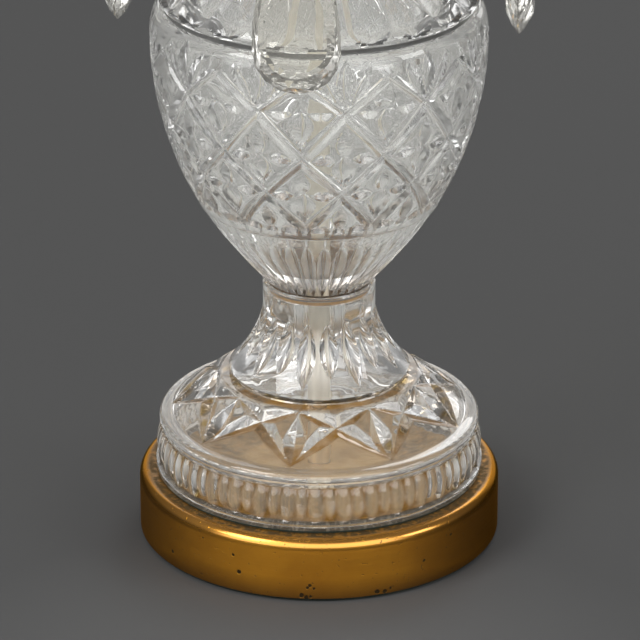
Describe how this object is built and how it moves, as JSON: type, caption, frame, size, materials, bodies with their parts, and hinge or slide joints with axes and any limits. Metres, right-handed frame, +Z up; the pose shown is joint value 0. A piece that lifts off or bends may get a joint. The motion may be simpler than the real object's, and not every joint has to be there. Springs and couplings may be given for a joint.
{
  "type": "crystal candelabrum",
  "caption": "Cut-crystal urn on a flared crystal foot and a round brass base, with glass arms, drip pans, brass candle cups and hanging faceted drops.",
  "frame": {"origin": "centre of the felt's underside, on the table", "axes": "+Z up along the tie rod; -Y is the front, +X is the right-hand arm"},
  "size_m": [0.396, 0.396, 0.473],
  "materials": {
    "crystal": "polished cut crystal",
    "aged_brass": "aged, polished, pitted",
    "wire": "bright wire",
    "steel": "zinc plated",
    "cast_iron": "raw casting",
    "felt": "dark felt",
    "board": "pressed board",
    "gasket": "soft grey ring"
  },
  "bodies": {
    "stand": {"felt_pad": "felt", "foot_gasket": "felt", "base_board": "board", "base_cap": "aged_brass", "base_weight": "cast_iron", "tie_rod": "steel", "rod_washer": "steel", "rod_nut": "steel", "crystal_foot": "crystal", "waist_washer": "aged_brass", "urn_bowl": "crystal", "seam_ring": "gasket", "urn_cover": "crystal", "neck_washer": "gasket", "neck_cap": "aged_brass", "arm_hub": "aged_brass", "arm_sleeves": "aged_brass", "drop_collars": "aged_brass", "arm_tips": "aged_brass", "finial_seat": "aged_brass", "finial": "crystal", "drop_rings": "wire", "pan_rings": "wire", "arm_front": "crystal", "drip_pan_front": "crystal", "candle_cup_front": "aged_brass", "arm_right": "crystal", "drip_pan_right": "crystal", "candle_cup_right": "aged_brass", "arm_back": "crystal", "drip_pan_back": "crystal", "candle_cup_back": "aged_brass", "arm_left": "crystal", "drip_pan_left": "crystal", "candle_cup_left": "aged_brass"},
    "drop_front_body": {"drop_front": "crystal"},
    "drop_right_body": {"drop_right": "crystal"},
    "drop_back_body": {"drop_back": "crystal"},
    "drop_left_body": {"drop_left": "crystal"},
    "pan_drop_front_1_body": {"pan_drop_front_1": "crystal"},
    "pan_drop_front_2_body": {"pan_drop_front_2": "crystal"},
    "pan_drop_front_3_body": {"pan_drop_front_3": "crystal"},
    "pan_drop_front_4_body": {"pan_drop_front_4": "crystal"},
    "pan_drop_front_5_body": {"pan_drop_front_5": "crystal"},
    "pan_drop_right_1_body": {"pan_drop_right_1": "crystal"},
    "pan_drop_right_2_body": {"pan_drop_right_2": "crystal"},
    "pan_drop_right_3_body": {"pan_drop_right_3": "crystal"},
    "pan_drop_right_4_body": {"pan_drop_right_4": "crystal"},
    "pan_drop_right_5_body": {"pan_drop_right_5": "crystal"},
    "pan_drop_back_1_body": {"pan_drop_back_1": "crystal"},
    "pan_drop_back_2_body": {"pan_drop_back_2": "crystal"},
    "pan_drop_back_3_body": {"pan_drop_back_3": "crystal"},
    "pan_drop_back_4_body": {"pan_drop_back_4": "crystal"},
    "pan_drop_back_5_body": {"pan_drop_back_5": "crystal"},
    "pan_drop_left_1_body": {"pan_drop_left_1": "crystal"},
    "pan_drop_left_2_body": {"pan_drop_left_2": "crystal"},
    "pan_drop_left_3_body": {"pan_drop_left_3": "crystal"},
    "pan_drop_left_4_body": {"pan_drop_left_4": "crystal"},
    "pan_drop_left_5_body": {"pan_drop_left_5": "crystal"}
  },
  "joints": [
    {"name": "drop_front_swing", "type": "hinge", "parent": "stand", "child": "drop_front_body", "pos_m": [0, -0.0914, 0.323], "axis": [0, -1, 0], "range_deg": [-35, 35]},
    {"name": "drop_right_swing", "type": "hinge", "parent": "stand", "child": "drop_right_body", "pos_m": [0.0914, 0, 0.323], "axis": [1, 0, 0], "range_deg": [-35, 35]},
    {"name": "drop_back_swing", "type": "hinge", "parent": "stand", "child": "drop_back_body", "pos_m": [0, 0.0914, 0.323], "axis": [0, 1, 0], "range_deg": [-35, 35]},
    {"name": "drop_left_swing", "type": "hinge", "parent": "stand", "child": "drop_left_body", "pos_m": [-0.0914, 0, 0.323], "axis": [-1, 0, 0], "range_deg": [-35, 35]},
    {"name": "pan_drop_front_1_swing", "type": "hinge", "parent": "stand", "child": "pan_drop_front_1_body", "pos_m": [0, -0.1925, 0.41205], "axis": [0, -1, 0], "range_deg": [-25, 25]},
    {"name": "pan_drop_front_2_swing", "type": "hinge", "parent": "stand", "child": "pan_drop_front_2_body", "pos_m": [0.04042, -0.16313, 0.41205], "axis": [0.9511, -0.309, 0], "range_deg": [-25, 25]},
    {"name": "pan_drop_front_3_swing", "type": "hinge", "parent": "stand", "child": "pan_drop_front_3_body", "pos_m": [0.02498, -0.11562, 0.41205], "axis": [0.5878, 0.809, 0], "range_deg": [-25, 25]},
    {"name": "pan_drop_front_4_swing", "type": "hinge", "parent": "stand", "child": "pan_drop_front_4_body", "pos_m": [-0.02498, -0.11562, 0.41205], "axis": [-0.5878, 0.809, 0], "range_deg": [-25, 25]},
    {"name": "pan_drop_front_5_swing", "type": "hinge", "parent": "stand", "child": "pan_drop_front_5_body", "pos_m": [-0.04042, -0.16313, 0.41205], "axis": [-0.9511, -0.309, 0], "range_deg": [-25, 25]},
    {"name": "pan_drop_right_1_swing", "type": "hinge", "parent": "stand", "child": "pan_drop_right_1_body", "pos_m": [0.1925, 0, 0.41205], "axis": [1, 0, 0], "range_deg": [-25, 25]},
    {"name": "pan_drop_right_2_swing", "type": "hinge", "parent": "stand", "child": "pan_drop_right_2_body", "pos_m": [0.16313, 0.04042, 0.41205], "axis": [0.309, 0.9511, 0], "range_deg": [-25, 25]},
    {"name": "pan_drop_right_3_swing", "type": "hinge", "parent": "stand", "child": "pan_drop_right_3_body", "pos_m": [0.11562, 0.02498, 0.41205], "axis": [-0.809, 0.5878, 0], "range_deg": [-25, 25]},
    {"name": "pan_drop_right_4_swing", "type": "hinge", "parent": "stand", "child": "pan_drop_right_4_body", "pos_m": [0.11562, -0.02498, 0.41205], "axis": [-0.809, -0.5878, 0], "range_deg": [-25, 25]},
    {"name": "pan_drop_right_5_swing", "type": "hinge", "parent": "stand", "child": "pan_drop_right_5_body", "pos_m": [0.16313, -0.04042, 0.41205], "axis": [0.309, -0.9511, 0], "range_deg": [-25, 25]},
    {"name": "pan_drop_back_1_swing", "type": "hinge", "parent": "stand", "child": "pan_drop_back_1_body", "pos_m": [0, 0.1925, 0.41205], "axis": [0, 1, 0], "range_deg": [-25, 25]},
    {"name": "pan_drop_back_2_swing", "type": "hinge", "parent": "stand", "child": "pan_drop_back_2_body", "pos_m": [-0.04042, 0.16313, 0.41205], "axis": [-0.9511, 0.309, 0], "range_deg": [-25, 25]},
    {"name": "pan_drop_back_3_swing", "type": "hinge", "parent": "stand", "child": "pan_drop_back_3_body", "pos_m": [-0.02498, 0.11562, 0.41205], "axis": [-0.5878, -0.809, 0], "range_deg": [-25, 25]},
    {"name": "pan_drop_back_4_swing", "type": "hinge", "parent": "stand", "child": "pan_drop_back_4_body", "pos_m": [0.02498, 0.11562, 0.41205], "axis": [0.5878, -0.809, 0], "range_deg": [-25, 25]},
    {"name": "pan_drop_back_5_swing", "type": "hinge", "parent": "stand", "child": "pan_drop_back_5_body", "pos_m": [0.04042, 0.16313, 0.41205], "axis": [0.9511, 0.309, 0], "range_deg": [-25, 25]},
    {"name": "pan_drop_left_1_swing", "type": "hinge", "parent": "stand", "child": "pan_drop_left_1_body", "pos_m": [-0.1925, 0, 0.41205], "axis": [-1, 0, 0], "range_deg": [-25, 25]},
    {"name": "pan_drop_left_2_swing", "type": "hinge", "parent": "stand", "child": "pan_drop_left_2_body", "pos_m": [-0.16313, -0.04042, 0.41205], "axis": [-0.309, -0.9511, 0], "range_deg": [-25, 25]},
    {"name": "pan_drop_left_3_swing", "type": "hinge", "parent": "stand", "child": "pan_drop_left_3_body", "pos_m": [-0.11562, -0.02498, 0.41205], "axis": [0.809, -0.5878, 0], "range_deg": [-25, 25]},
    {"name": "pan_drop_left_4_swing", "type": "hinge", "parent": "stand", "child": "pan_drop_left_4_body", "pos_m": [-0.11562, 0.02498, 0.41205], "axis": [0.809, 0.5878, 0], "range_deg": [-25, 25]},
    {"name": "pan_drop_left_5_swing", "type": "hinge", "parent": "stand", "child": "pan_drop_left_5_body", "pos_m": [-0.16313, 0.04042, 0.41205], "axis": [-0.309, 0.9511, 0], "range_deg": [-25, 25]}
  ]
}
